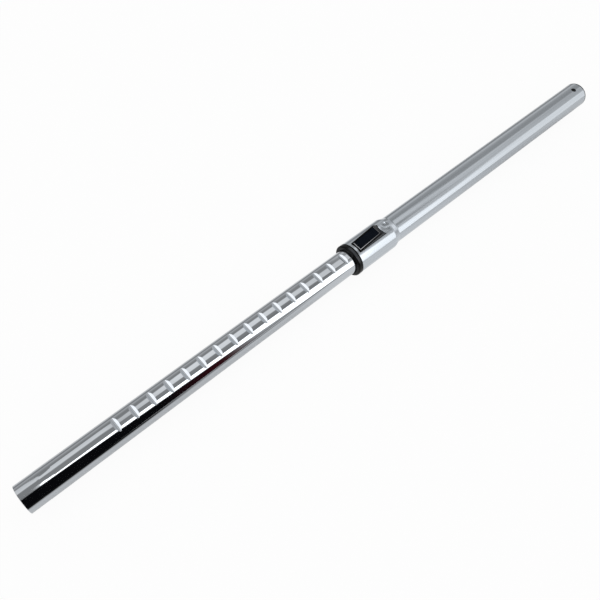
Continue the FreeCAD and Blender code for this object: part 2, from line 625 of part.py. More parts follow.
def make_release_button():
    """Moulded rocker button: a hollow cap with a pad recess, a slot for the pawl and a boss on the pin."""
    body = new_body("release_button")
    half = "(Sheet.window_width / 2 - Sheet.button_gap)"
    corner_round = "max(Sheet.window_round - Sheet.button_gap; Sheet.button_gap)"
    plan = outline(body, "cap_plan", "XY_Plane", (
        (BUTTON_LOW, f"-{half}", corner_round),
        (BUTTON_HIGH, f"-{half}"),
        (BUTTON_HIGH, half),
        (BUTTON_LOW, half, corner_round),
    ), offset=PLATE_LOW_Z)
    cap = body.newObject("PartDesign::Pad", "cap")
    cap.Profile = plan
    cap.setExpression("Length", f"{ABOVE_ALL} - {PLATE_LOW_Z}")
    doc.recompute()

    before_low = f"({BUTTON_LOW} - {OVERCUT})"
    past_high = f"({BUTTON_HIGH} + {OVERCUT})"
    heel = f"({BUTTON_HIGH} - Sheet.button_heel)"
    top_side = outline(body, "top_side", "XZ_Plane", (
        (before_low, button_top(before_low)),
        (heel, button_top(heel)),
        (BUTTON_HIGH, WINDOW_EDGE_Z),
        (past_high, WINDOW_EDGE_Z),
        (past_high, f"{ABOVE_ALL} + {OVERCUT}"),
        (before_low, f"{ABOVE_ALL} + {OVERCUT}"),
    ))
    across(body, "top_cut", "Pocket", top_side)
    for side, sign in (("left", ""), ("right", "-")):
        cheek_low, cheek_high = (
            cheek_section(body, f"{side}_cheek_{end}", sign, half, x)
            for end, x in (("low", before_low), ("high", past_high))
        )
        cheek = body.newObject("PartDesign::SubtractiveLoft", f"{side}_cheek")
        cheek.Profile = cheek_low
        cheek.Sections = [cheek_high]
        cheek.Ruled = True
        doc.recompute()
    skirt_side = outline(body, "skirt_side", "XZ_Plane", (
        (BUTTON_LOW, PLATE_LOW_Z),
        (BUTTON_LOW, "0"),
        (past_high, "0"),
        (past_high, f"{PLATE_LOW_Z} + Sheet.skirt_rise"),
    ))
    shaped = across(body, "skirt_cut", "Pocket", skirt_side)

    top_edges = []
    for index, edge in enumerate(shaped.Shape.Edges, start=1):
        ends = [corner.Point for corner in edge.Vertexes]
        if all(abs(end.z - number(button_top(repr(end.x)))) < NEAR for end in ends):
            top_edges.append(f"Edge{index}")
    bevel = body.newObject("PartDesign::Chamfer", "top_bevel")
    bevel.Base = (shaped, top_edges)
    bevel.setExpression("Size", "Sheet.button_edge_bevel")
    doc.recompute()
    scoop_end(body, "button_scoop", f"{SCOOP_R} + Sheet.button_gap")

    pad_low = f"({BUTTON_LOW} + Sheet.pad_margin_low)"
    pad_high = f"({BUTTON_HIGH} - Sheet.pad_margin_high)"
    recess_side = outline(body, "recess_side", "XZ_Plane", (
        (pad_low, f"{button_top(pad_low)} - {PAD_RECESS}"),
        (pad_high, f"{button_top(pad_high)} - {PAD_RECESS}"),
        (pad_high, ABOVE_ALL),
        (pad_low, ABOVE_ALL),
    ))
    across(body, "recess", "Pocket", recess_side, "Sheet.pad_width + 2 * Sheet.pad_clearance")

    slot_end = f"({PLATE_END} + Sheet.pawl_clearance)"
    slot_side = outline(body, "pawl_slot_side", "XZ_Plane", (
        (f"{BUTTON_LOW} - {OVERCUT}", "0"),
        (slot_end, "0"),
        (slot_end, PLATE_HIGH_Z),
        (f"{BUTTON_LOW} - {OVERCUT}", PLATE_HIGH_Z),
    ))
    across(body, "pawl_slot", "Pocket", slot_side, "Sheet.pawl_width + 2 * Sheet.pawl_clearance")

    hollow_low = f"({PLATE_END} + Sheet.button_wall)"
    hollow_side = outline(body, "hollow_side", "XZ_Plane", (
        (hollow_low, "0"),
        (HOLLOW_HIGH, "0"),
        (HOLLOW_HIGH, button_roof(HOLLOW_HIGH)),
        (hollow_low, button_roof(hollow_low)),
    ))
    across(body, "hollow", "Pocket", hollow_side, f"2 * ({half} - Sheet.button_wall)")

    boss_r = "(Sheet.pin_diameter / 2 + Sheet.pin_running_gap + Sheet.boss_wall)"
    boss_width = "(Sheet.pin_length - 2 * Sheet.ear_thickness - 2 * Sheet.boss_side_gap)"
    boss_side = outline(body, "boss_side", "XZ_Plane", (
        (f"{PIVOT_X} - {boss_r}", f"{PIVOT_Z} - {boss_r}", f"{boss_r} * {ROUND_END}"),
        (f"{PIVOT_X} + {boss_r}", f"{PIVOT_Z} - {boss_r}", f"{boss_r} * {ROUND_END}"),
        (f"{PIVOT_X} + {boss_r}", f"{button_roof(PIVOT_X)} + Sheet.button_roof / 2"),
        (f"{PIVOT_X} - {boss_r}", f"{button_roof(PIVOT_X)} + Sheet.button_roof / 2"),
    ))
    across(body, "boss", "Pad", boss_side, boss_width)
    bore_r = "Sheet.pin_diameter / 2 + Sheet.pin_running_gap"
    bore_side = circle_outline(body, "boss_bore_side", "XZ_Plane", (PIVOT_X, PIVOT_Z), bore_r)
    body.Tip = across(body, "boss_bore", "Pocket", bore_side, f"{boss_width} + Sheet.boss_side_gap")
    doc.recompute()
    return body


def make_thumb_pad():
    """Matt panel let into the button's top, a little below its frame."""
    body = new_body("thumb_pad")
    low = f"({BUTTON_LOW} + Sheet.pad_margin_low + Sheet.pad_clearance)"
    high = f"({BUTTON_HIGH} - Sheet.pad_margin_high - Sheet.pad_clearance)"
    side = outline(body, "pad_side", "XZ_Plane", (
        (low, f"{button_top(low)} - {PAD_RECESS}"),
        (high, f"{button_top(high)} - {PAD_RECESS}"),
        (high, f"{button_top(high)} - Sheet.pad_sink"),
        (low, f"{button_top(low)} - Sheet.pad_sink"),
    ))
    body.Tip = across(body, "pad", "Pad", side, "Sheet.pad_width")
    doc.recompute()
    return body


def make_lock_pawl():
    """Steel pawl in the button's lower end: a plate whose tooth drops into a notch."""
    body = new_body("lock_pawl")
    step = f"({WINDOW_LOW} + Sheet.pawl_step)"
    side = outline(body, "pawl_side", "XZ_Plane", (
        (f"{TOOTH_X} - {TOOTH_HALF_TIP}", TOOTH_TIP_Z),
        (f"{TOOTH_X} + {TOOTH_HALF_TIP}", TOOTH_TIP_Z),
        (f"{TOOTH_X} + {TOOTH_HALF_HEAD}", TUBE_R),
        (f"{TOOTH_X} + {TOOTH_HALF_HEAD}", PLATE_LOW_Z),
        (PLATE_END, PLATE_LOW_Z),
        (PLATE_END, PLATE_HIGH_Z),
        (step, PLATE_HIGH_Z),
        (step, TOOTH_HEAD_Z),
        (f"{TOOTH_X} - {TOOTH_HALF_HEAD}", TOOTH_HEAD_Z),
        (f"{TOOTH_X} - {TOOTH_HALF_HEAD}", TUBE_R),
    ))
    body.Tip = across(body, "pawl", "Pad", side, "Sheet.pawl_width")
    doc.recompute()
    return body


def make_return_spring():
    """Bent leaf spring: its foot sits on the sleeve's stud and its arm lifts the button's raised end."""
    body = new_body("return_spring")
    bend_x = f"({SPRING_X} - Sheet.spring_reach)"
    inner_x = f"({bend_x} + Sheet.spring_strip)"
    foot_z = f"({POCKET_Z} + Sheet.spring_strip)"
    knee_z = f"({POCKET_Z} + Sheet.spring_knee)"
    tip_z = f"({button_roof(SPRING_TIP_X)} - Sheet.spring_gap)"
    inner_bend = "Sheet.spring_bend - Sheet.spring_strip"
    side = outline(body, "spring_side", "XZ_Plane", (
        (SPRING_TIP_X, POCKET_Z),
        (SPRING_TIP_X, foot_z),
        (inner_x, foot_z, inner_bend),
        (inner_x, f"{knee_z} - Sheet.spring_strip / 2", inner_bend),
        (SPRING_TIP_X, f"{tip_z} - Sheet.spring_strip"),
        (SPRING_TIP_X, tip_z),
        (bend_x, knee_z, "Sheet.spring_bend"),
        (bend_x, POCKET_Z, "Sheet.spring_bend"),
    ))
    across(body, "strip", "Pad", side, "Sheet.spring_width")
    hole_r = "Sheet.stud_diameter / 2 + Sheet.stud_gap"
    hole_plan = circle_outline(body, "foot_hole_plan", "XY_Plane", (SPRING_X, "0"), hole_r, offset=POCKET_Z)
    hole = body.newObject("PartDesign::Pocket", "foot_hole")
    hole.Profile = hole_plan
    hole.Reversed = True
    hole.setExpression("Length", "Sheet.spring_strip")
    body.Tip = hole
    doc.recompute()
    return body


NODES = {
    "inner_tube": make_inner_tube(),
    "slide_ring": make_slide_ring(),
    "outer_tube": make_outer_tube(),
    "guide_sleeve": make_guide_sleeve(),
    "air_seal": make_air_seal(),
    "handle_liner": make_handle_liner(),
    "pivot_pin": make_pivot_pin(),
    "return_spring": make_return_spring(),
    "release_button": make_release_button(),
    "thumb_pad": make_thumb_pad(),
    "lock_pawl": make_lock_pawl(),
}
doc.recompute()

for item in doc.Objects:
    if "Invalid" in item.State or "Error" in item.State:
        raise RuntimeError(f"{item.Name} failed: {item.State}")
for node, item in NODES.items():
    item.Label = node
    if item.Shape.isNull() or not item.Shape.isValid():
        raise RuntimeError(f"{node} has no valid shape")

os.makedirs("parts", exist_ok=True)
for node, item in NODES.items():
    item.Shape.exportStep(f"parts/{node}.step")
    box = item.Shape.BoundBox
    print(f"{node}: {len(item.Shape.Solids)} solid, {item.Shape.Volume:.1f} mm3,"
          f" x {box.XMin:.2f} to {box.XMax:.2f}, y {box.YMin:.2f} to {box.YMax:.2f},"
          f" z {box.ZMin:.2f} to {box.ZMax:.2f}")
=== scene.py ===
import math

import bmesh
import bpy
from mathutils import Matrix, Vector


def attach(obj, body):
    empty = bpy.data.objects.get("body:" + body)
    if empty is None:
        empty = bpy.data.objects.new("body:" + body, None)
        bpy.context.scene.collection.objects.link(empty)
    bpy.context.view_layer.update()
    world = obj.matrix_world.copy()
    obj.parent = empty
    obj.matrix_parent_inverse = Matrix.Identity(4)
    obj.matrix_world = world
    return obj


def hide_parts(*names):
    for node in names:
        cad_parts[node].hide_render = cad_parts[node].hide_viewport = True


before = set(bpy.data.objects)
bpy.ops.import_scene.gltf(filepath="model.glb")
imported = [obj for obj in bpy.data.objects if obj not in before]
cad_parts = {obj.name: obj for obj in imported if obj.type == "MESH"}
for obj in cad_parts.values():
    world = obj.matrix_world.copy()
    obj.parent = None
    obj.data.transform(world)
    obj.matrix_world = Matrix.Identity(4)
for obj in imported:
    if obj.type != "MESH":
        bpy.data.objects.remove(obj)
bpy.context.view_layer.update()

# Inner tube. A thin drawn steel tube, bright chrome plated. A key flat is rolled along the button's side,
# and a row of cross notches for the pawl is pressed through it. It slides in the outer tube.

MM = 0.001
TUBE_SIDES = 160
TUBE_R = 17.5
TUBE_WALL = 0.7
TUBE_LOW = -1015.0
TUBE_HIGH = -404.0
SPIGOT_R = 17.35
SPIGOT_END = -993.5
SPIGOT_TAPER = 1.5
END_BREAK = 0.25
FLAT_Z = 16.75
FLAT_START = -991.0
FLAT_FULL = -975.0
NOTCH_FIRST = -900.0
NOTCH_PITCH = 23.0
NOTCH_COUNT = 19
FLAT_CROWN = 0.3
FLAT_HALF = 5.07
FLAT_STRIPS = 7
NOTCH_FLOOR_Z = 14.75
NOTCH_HALF_FLOOR = 0.6
NOTCH_HALF_MOUTH = 4.3
NOTCH_FLOOR_ROUND = 0.5
NOTCH_SHOULDER_ROUND = 0.4
NOTCH_REACH = 5.0
SHOULDER_LIFT = 1.2
PAST_END = 5.0
PAST_TUBE = 20.0
ROLLER_LEAD = 4.0


def only(piece):
    """Make a piece the one selected and active object."""
    if bpy.context.object and bpy.context.object.mode != "OBJECT":
        bpy.ops.object.mode_set(mode="OBJECT")
    bpy.ops.object.select_all(action="DESELECT")
    if piece:
        piece.select_set(True)
        bpy.context.view_layer.objects.active = piece


def named(name):
    """Name the object that was just added and put its place into its mesh."""
    piece = bpy.context.object
    piece.name = piece.data.name = name
    bpy.ops.object.transform_apply(location=True, rotation=True, scale=True)
    return piece


def close_mesh(piece):
    """Merge doubled points and turn all faces outwards."""
    only(piece)
    bpy.ops.object.mode_set(mode="EDIT")
    bpy.ops.mesh.select_all(action="SELECT")
    bpy.ops.mesh.remove_doubles(threshold=1e-7)
    bpy.ops.mesh.normals_make_consistent(inside=False)
    bpy.ops.object.mode_set(mode="OBJECT")


def turned(name, stations, ring=False):
    """Extrude a disc along the wand from station to station, each an (x, radius). A ring has a bore."""
    only(None)
    (x, radius), *later = stations
    bpy.ops.mesh.primitive_circle_add(
        vertices=TUBE_SIDES, radius=radius * MM, fill_type="NOTHING" if ring else "NGON",
        location=(x * MM, 0, 0), rotation=(0, math.pi / 2, 0),
    )
    piece = named(name)
    bpy.ops.object.mode_set(mode="EDIT")
    bpy.ops.mesh.select_all(action="SELECT")
    for next_x, next_radius in later:
        step = ((next_x - x) * MM, 0, 0)
        bpy.ops.mesh.extrude_region_move(TRANSFORM_OT_translate={"value": step})
        grow = next_radius / radius
        bpy.ops.transform.resize(value=(1, grow, grow), center_override=(next_x * MM, 0, 0))
        x, radius = next_x, next_radius
    if ring:
        bpy.ops.mesh.select_mode(type="EDGE")
        bpy.ops.mesh.select_all(action="DESELECT")
        bpy.ops.mesh.select_non_manifold(extend=False)
        bpy.ops.mesh.bridge_edge_loops()
    close_mesh(piece)
    return piece


def block(name, low, high):
    """A box between two corners."""
    only(None)
    middle = [(a + b) / 2 * MM for a, b in zip(low, high)]
    bpy.ops.mesh.primitive_cube_add(size=1, location=middle)
    bpy.context.object.scale = [(b - a) * MM for a, b in zip(low, high)]
    return named(name)


def pick(piece, kind, test):
    """Open a piece in edit mode with the verts, edges or faces selected whose element passes a test."""
    only(piece)
    bpy.ops.object.mode_set(mode="EDIT")
    bpy.ops.mesh.select_mode(type={"verts": "VERT", "edges": "EDGE", "faces": "FACE"}[kind])
    bpy.ops.mesh.select_all(action="DESELECT")
    mesh = bmesh.from_edit_mesh(piece.data)
    for element in getattr(mesh, kind):
        if test(element):
            element.select_set(True)
    mesh.select_flush_mode()
    bmesh.update_edit_mesh(piece.data)


def middle_of(edge):
    """The middle of an edge, in millimetres."""
    return (edge.verts[0].co + edge.verts[1].co) / 2 / MM


def round_edges(piece, test, radius, segments=3):
    """Round the edges that pass a test on their middle and on the angle between their faces."""
    pick(piece, "edges", lambda edge: edge.is_manifold and test(
        middle_of(edge), math.degrees(edge.calc_face_angle(0.0))))
    bpy.ops.mesh.bevel(offset=radius * MM, segments=segments, affect="EDGES", clamp_overlap=True)
    only(piece)


def cut(piece, tool, way="DIFFERENCE"):
    """Take a tool's form out of a piece, or join it on."""
    only(piece)
    bpy.ops.object.modifier_add(type="BOOLEAN")
    change = piece.modifiers[-1]
    change.operation, change.solver, change.object = way, "EXACT", tool
    bpy.ops.object.modifier_apply(modifier=change.name)
    bpy.data.objects.remove(tool)


def smooth(piece, angle):
    """Shade a piece smooth up to an angle between faces, with the large faces kept true."""
    only(piece)
    bpy.ops.object.shade_smooth_by_angle(angle=math.radians(angle))
    bpy.ops.object.modifier_add(type="WEIGHTED_NORMAL")
    weigh = piece.modifiers[-1]
    weigh.keep_sharp = True
    bpy.ops.object.modifier_apply(modifier=weigh.name)


def key_flat(inset):
    """The roller's form: a long flat that sinks in over its first stretch."""
    fall = (TUBE_R - FLAT_Z) / (FLAT_FULL - FLAT_START)
    low_x = FLAT_START - ROLLER_LEAD
    tool = block(
        "flat_roller", (low_x, -PAST_TUBE, FLAT_Z - inset), (TUBE_HIGH + PAST_TUBE, PAST_TUBE, PAST_TUBE))
    pick(tool, "faces", lambda face: True)
    bpy.ops.mesh.bisect(plane_co=(FLAT_FULL * MM, 0, 0), plane_no=(1, 0, 0))
    pick(tool, "verts", lambda v: v.co.x / MM < low_x + 0.1 and v.co.z / MM < FLAT_Z + 0.1)
    bpy.ops.transform.translate(value=(0, 0, (FLAT_FULL - low_x) * fall * MM))
    strips = [FLAT_HALF * i / FLAT_STRIPS for i in range(-FLAT_STRIPS, FLAT_STRIPS + 1)]
    for y in strips:
        pick(tool, "faces", lambda face: True)
        bpy.ops.mesh.bisect(plane_co=(0, y * MM, 0), plane_no=(0, 1, 0))
    for y in strips:
        pick(tool, "verts", lambda v: abs(v.co.y / MM - y) < 0.01 and v.co.z / MM < PAST_TUBE - 0.1)
        bpy.ops.transform.translate(value=(0, 0, FLAT_CROWN * (1 - (y / FLAT_HALF) ** 2) * MM))
    only(tool)
    return tool


def notch_row(inset):
    """The press tool: one blunt wedge across the tube, repeated at the notch pitch."""
    slope = (NOTCH_HALF_MOUTH - NOTCH_HALF_FLOOR) / (TUBE_R - NOTCH_FLOOR_Z)
    floor_z = NOTCH_FLOOR_Z - inset
    half_floor = NOTCH_HALF_FLOOR + inset / 2
    half_top = half_floor + (PAST_TUBE - floor_z) * slope
    tool = block(
        "notch_punch", (NOTCH_FIRST - half_top, -PAST_TUBE, floor_z),
        (NOTCH_FIRST + half_top, PAST_TUBE, PAST_TUBE))
    pick(tool, "verts", lambda v: v.co.z / MM < floor_z + 0.1)
    bpy.ops.transform.resize(
        value=(half_floor / half_top, 1, 1), center_override=(NOTCH_FIRST * MM, 0, 0))
    round_edges(
        tool, lambda p, angle: p.z < floor_z + 0.1 and abs(p.y) < 1, NOTCH_FLOOR_ROUND - inset / 2, 4)
    bpy.ops.object.modifier_add(type="ARRAY")
    row = tool.modifiers[-1]
    row.count, row.use_relative_offset, row.use_constant_offset = NOTCH_COUNT, False, True
    row.constant_offset_displace = (NOTCH_PITCH * MM, 0, 0)
    bpy.ops.object.modifier_apply(modifier=row.name)
    return tool


def keyed_tube(name, inset, stations):
    """The inner tube's form with its flat and notches, all set in by an inset for its hollow."""
    form = turned(name, stations)
    cut(form, key_flat(inset))
    cut(form, notch_row(inset))
    return form


lower_tube = keyed_tube("lower_tube", 0.0, (
    (TUBE_LOW, SPIGOT_R - END_BREAK),
    (TUBE_LOW + END_BREAK, SPIGOT_R),
    (SPIGOT_END, SPIGOT_R),
    (SPIGOT_END + SPIGOT_TAPER, TUBE_R),
    (TUBE_HIGH - END_BREAK, TUBE_R),
    (TUBE_HIGH, TUBE_R - END_BREAK),
))
round_edges(
    lower_tube,
    lambda p, angle: angle > 14 and p.z > NOTCH_FLOOR_Z + SHOULDER_LIFT
    and NOTCH_FIRST - NOTCH_PITCH / 2 < p.x < NOTCH_FIRST + (NOTCH_COUNT - 0.5) * NOTCH_PITCH
    and abs((p.x - NOTCH_FIRST + NOTCH_PITCH / 2) % NOTCH_PITCH - NOTCH_PITCH / 2) < NOTCH_REACH,
    NOTCH_SHOULDER_ROUND, 3,
)
cut(lower_tube, keyed_tube("lower_tube_hollow", TUBE_WALL, (
    (TUBE_LOW - PAST_END, SPIGOT_R - TUBE_WALL),
    (SPIGOT_END, SPIGOT_R - TUBE_WALL),
    (SPIGOT_END + SPIGOT_TAPER, TUBE_R - TUBE_WALL),
    (TUBE_HIGH + PAST_END, TUBE_R - TUBE_WALL),
)))
close_mesh(lower_tube)
smooth(lower_tube, 28)


class Tone:
    """A value of a shader. Arithmetic on it adds Math nodes, and add() adds any other node."""

    def __init__(self, tree, socket=None):
        self.tree, self.socket = tree, socket

    def add(self, kind, settings=None, inputs=None, out=0):
        """A node by its type, its settings and ramp stops, its sockets' values or links, and its output."""
        node = self.tree.nodes.new("ShaderNode" + kind)
        for setting, value in (settings or {}).items():
            if setting == "stops":
                points = node.color_ramp.elements
                while len(points) < len(value):
                    points.new(0.5)
                for point, (position, colour) in zip(points, value):
                    point.position, point.color = position, (*colour, 1.0)
            else:
                setattr(node, setting, value)
        for socket, value in (inputs or {}).items():
            if isinstance(value, Tone):
                self.tree.links.new(value.socket, node.inputs[socket])
            else:
                node.inputs[socket].default_value = value
        return Tone(self.tree, node.outputs[out] if node.outputs else None)

    def math(self, operation, *values):
        """A Math node on values or tones."""
        return self.add("Math", {"operation": operation}, dict(enumerate(values)))

    def __add__(self, other):
        return self.math("ADD", self, other)

    __radd__ = __add__

    def __sub__(self, other):
        return self.math("SUBTRACT", self, other)

    def __rsub__(self, other):
        return self.math("SUBTRACT", other, self)

    def __mul__(self, other):
        return self.math("MULTIPLY", self, other)

    __rmul__ = __mul__

    def __truediv__(self, other):
        return self.math("DIVIDE", self, other)

    def noise(self, place, scale, stretch=(1, 1, 1), detail=4.0):
        """Noise from 0 to 1 on a place, in features per metre, stretched along the axes."""
        mapped = self.add("Mapping", {"vector_type": "POINT"}, {"Vector": place, "Scale": stretch})
        return self.add("TexNoise", {"noise_dimensions": "3D"}, {
            "Vector": mapped, "Scale": scale, "Detail": detail, "Roughness": 0.55})

    def between(self, low, high):
        """This value's rise from 0 at low to 1 at high, eased."""
        return self.add("MapRange", {"interpolation_type": "SMOOTHSTEP"}, {
            "Value": self, "From Min": low, "From Max": high})

    def within(self, low, high, edge):
        """1 where this value lies between low and high, eased over an edge inside them."""
        return self.between(low, low + edge) * (1 - self.between(high - edge, high))

    def blend(self, first, second):
        """A colour between two, by this value."""
        return self.add("Mix", {"data_type": "RGBA"}, {0: self, 6: first, 7: second}, out=2)


def finish(name, colour):
    """A new material with an empty tree, and the tone that builds it."""
    material = bpy.data.materials.new(name)
    material.use_nodes = True
    material.node_tree.nodes.clear()
    material.diffuse_color = (*colour, 1.0)
    return material, Tone(material.node_tree)


def surface(tone, inputs):
    """End a material's tree in a Principled shader with these sockets."""
    shader = tone.add("BsdfPrincipled", {}, inputs)
    tone.add("OutputMaterial", {}, {"Surface": shader})


def relief(tone, height, strength, depth):
    """A surface normal from a height."""
    return tone.add("Bump", {}, {"Height": height, "Strength": strength, "Distance": depth * MM})


def chrome(name, light, dark, gloss, haze, dish=0.0):
    """Chrome plate on drawn steel: lengthwise draw lines and wiping haze."""
    material, tone = finish(name, light)
    place = tone.add("TexCoord", out="Object")
    lines = tone.noise(place, 1.0, (3, 900, 900), 5.0)
    broad = tone.noise(place, 1.0, (1.5, 130, 130), 2.0)
    haze_patch = tone.noise(place, 1.0, (14, 60, 60), 3.0)
    shade = (lines * 0.55 + broad * 0.45).between(0.36, 0.66)
    dull = haze * (lines - 0.5) + haze * haze_patch.between(0.45, 0.75)
    if dish:
        from_ball = tone.add("VectorMath", {"operation": "DISTANCE"}, {
            0: place, 1: (DISH_X * MM, 0, DISH_Z * MM)}, out="Value")
        dull = dull + dish * (1 - from_ball.between((DISH_R + 0.3) * MM, (DISH_R + 1.3) * MM))
    surface(tone, {
        "Base Color": shade.blend((*dark, 1), (*light, 1)),
        "Metallic": 1.0,
        "Roughness": gloss + dull,
        "Normal": relief(tone, lines, 0.2, 0.003),
    })
    return material


def dress(piece, material, body, node):
    """Give a piece its finish and its body, and hide the CAD node that it stands for."""
    piece.data.materials.clear()
    piece.data.materials.append(material)
    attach(piece, body)
    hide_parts(node)


bright_chrome = chrome("bright_chrome", (0.574, 0.602, 0.632), (0.514, 0.542, 0.572), 0.035, 0.02)
dress(lower_tube, bright_chrome, "inner", "inner_tube")

# Slide ring. A moulded ring on the inner tube's hidden end, snapped over it. It guides that end in the
# outer tube and stops the tube from pulling out.


def moulded(name, colour, sheen, gloss, grain, shine=0.5, wear_and_highlight=None, painted_highlight_colour=None):
    """Injection moulded plastic: fine eroded grain from the mould, rubbed patches that shine, and a painted
    highlight colour where the mask, a function of the place in millimetres, gives 1."""
    material, tone = finish(name, colour)
    place = tone.add("TexCoord", out="Object")
    fine = tone.noise(place, 3800.0, (1, 1, 1), 2.0)
    patch = tone.noise(place, 90.0, (1, 1, 1), 4.0)
    shade = patch.between(0.35, 0.7).blend((*colour, 1), (*sheen, 1))
    # Where the mask gives 1, a painted highlight colour takes the place of the plastic's colour.
    if wear_and_highlight:
        shade = wear_and_highlight(*(tone.add("SeparateXYZ", {}, {0: place}, out=axis) / MM for axis in "XYZ")).blend(
            shade, (*painted_highlight_colour, 1))
    surface(tone, {
        "Base Color": shade,
        "Roughness": gloss + 0.10 * (patch - 0.5) + 0.06 * (fine - 0.5),
        "Specular IOR Level": shine,
        "Normal": relief(tone, fine, grain, 0.01),
    })
    return material


def coat(node, material):
    """Give a CAD node that shows as it is its finish."""
    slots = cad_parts[node].data.materials
    slots.clear()
    slots.append(material)


ring_plastic = moulded("ring_plastic", (0.020, 0.020, 0.021), (0.030, 0.030, 0.031), 0.42, 0.25)
coat("slide_ring", ring_plastic)

# Outer tube. Chromed steel, a little duller than the inner one. Its lower end is expanded into a collar,
# which is pierced for the button, with a round thumb dish pressed in behind. The catch hole is punched.

SHANK_R = 19.7
COLLAR_R = 22.65
OUTER_WALL = 0.8
MOUTH = -536.5
NECK_LOW = -470.5
NECK_HIGH = -461.5
NECK_ROUND = 8.0
SHANK_END = -1.8
MOUTH_BREAK = 0.2
WINDOW_LOW = -533.1
WINDOW_HIGH = -482.1
WINDOW_HALF = 9.3
WINDOW_ROUND = 1.2
SCOOP_R = 12.81
SCOOP_X = -473.29
DISH_X = -477.5
DISH_Z = 37.35
DISH_R = 17.5
DISH_RIM_ROUND = 0.7
CATCH_X = -19.0
CATCH_R = 4.0
CATCH_DEPTH = 40.0
SCOOP_DEPTH = 60.0
WINDOW_FOOT_Z = 5.0
WINDOW_ROOF_Z = 40.0
BEND_STEPS = 8


def bent(before, corner, after, radius, steps):
    """The points of a tangent arc that rounds a corner of a profile."""
    before, corner, after = (Vector(point) for point in (before, corner, after))
    back, ahead = (before - corner).normalized(), (after - corner).normalized()
    half = back.angle(ahead) / 2
    start = corner + back * radius / math.tan(half)
    centre = corner + (back + ahead).normalized() * radius / math.sin(half)
    turn = math.pi - 2 * half
    side = math.copysign(1, back.x * ahead.y - back.y * ahead.x)
    spoke = start - centre
    points = []
    for i in range(steps + 1):
        a = -side * turn * i / steps
        points.append((
            centre.x + spoke.x * math.cos(a) - spoke.y * math.sin(a),
            centre.y + spoke.x * math.sin(a) + spoke.y * math.cos(a),
        ))
    return points


def necked(name, inset, low_x, high_x, lead):
    """The drawn tube's form: collar, rounded neck and shank."""
    collar, shank = COLLAR_R - inset, SHANK_R - inset
    first, last = (low_x, collar - lead), (high_x, shank - lead)
    bends = (
        bent((low_x, collar), (NECK_LOW, collar), (NECK_HIGH, shank), NECK_ROUND, BEND_STEPS)
        + bent((NECK_LOW, collar), (NECK_HIGH, shank), (high_x, shank), NECK_ROUND, BEND_STEPS)
    )
    if lead:
        return turned(name, [first, (low_x + lead, collar), *bends, (high_x - lead, shank), last])
    return turned(name, [first, *bends, last])


def dish_ball(radius):
    """The ball that presses the thumb dish."""
    only(None)
    bpy.ops.mesh.primitive_uv_sphere_add(
        segments=96, ring_count=64, radius=radius * MM, location=(DISH_X * MM, 0, DISH_Z * MM))
    return named("dish_punch")


def on_dish(point, radius):
    """Whether a point lies on the dish's ball."""
    return abs((point - Vector((DISH_X, 0, DISH_Z))).length - radius) < 0.05


def catch_punch():
    """The punch of the round catch hole."""
    only(None)
    bpy.ops.mesh.primitive_cylinder_add(
        vertices=64, radius=CATCH_R * MM, depth=CATCH_DEPTH * MM,
        location=(CATCH_X * MM, 0, CATCH_DEPTH / 2 * MM))
    return named("catch_punch")


def scoop_punch(gap):
    """The round end of the window round the dish, or with a gap, of the button."""
    only(None)
    bpy.ops.mesh.primitive_cylinder_add(
        vertices=128, radius=(SCOOP_R + gap) * MM, depth=SCOOP_DEPTH * MM,
        location=(SCOOP_X * MM, 0, SCOOP_DEPTH / 2 * MM))
    return named("scoop_punch")


def window_punch():
    """The punch of the button's window: round corners low, a round bite at the dish."""
    punch = block(
        "window_punch", (WINDOW_LOW, -WINDOW_HALF, WINDOW_FOOT_Z),
        (WINDOW_HIGH + 2, WINDOW_HALF, WINDOW_ROOF_Z))
    round_edges(
        punch, lambda p, angle: WINDOW_FOOT_Z + 1 < p.z < WINDOW_ROOF_Z - 1 and p.x < WINDOW_LOW + 1,
        WINDOW_ROUND, 6)
    cut(punch, scoop_punch(0.0))
    return punch


upper_tube = necked("upper_tube", 0.0, MOUTH, SHANK_END, MOUTH_BREAK)
cut(upper_tube, dish_ball(DISH_R))
round_edges(upper_tube, lambda p, angle: angle > 12 and on_dish(p, DISH_R), DISH_RIM_ROUND, 4)
hollow = necked("upper_tube_hollow", OUTER_WALL, MOUTH - PAST_END, SHANK_END + PAST_END, 0.0)
cut(hollow, dish_ball(DISH_R + OUTER_WALL))
cut(upper_tube, hollow)
cut(upper_tube, window_punch())
cut(upper_tube, catch_punch())
close_mesh(upper_tube)
smooth(upper_tube, 28)

satin_chrome = chrome("satin_chrome", (0.567, 0.606, 0.645), (0.472, 0.508, 0.546), 0.13, 0.05, dish=0.1)
dress(upper_tube, satin_chrome, "outer", "outer_tube")

# Guide sleeve. Black moulded plastic, pushed into the collar. Its rounded flange is the ring that shows at
# the mouth; inside are the key for the flat, the button's pocket, the pivot ears and the spring's stud.

FLANGE_LOW = -544.0
FLANGE_R = 22.95
FLANGE_ROUND = 2.4
FLANGE_BACK_BREAK = 0.3
SLEEVE_R = 21.75
SLEEVE_BORE_R = 17.7
SLEEVE_END = -474.0
SLEEVE_LIP = 0.8
KEY_HALF = 4.8
KEY_Z = 17.2
KEY_TOP = 18.075
GROOVE_LOW = -541.8
GROOVE_HIGH = -538.0
GROOVE_R = 19.7
POCKET_Z = 17.7
TOOTH_X = -532.0
TOOTH_REACH = 4.4
SLOT_HALF = 5.95
PIVOT_X = -508.0
PIVOT_Z = 19.95
EAR_R = 1.55
EAR_IN = 6.2
EAR_OUT = 7.5
EAR_HOLE_R = 1.02
STUD_X = -501.05
STUD_R = 1.0
STUD_TOP = 18.5
RELIEF_Z = 18.95
RELIEF_R = 9.76
RELIEF_DEPTH = 12.0
POCKET_TOP = 30.0
SLOT_FOOT = 8.0
SINK = 0.3
STUD_SINK = 0.4
EAR_ROUND = 1.5

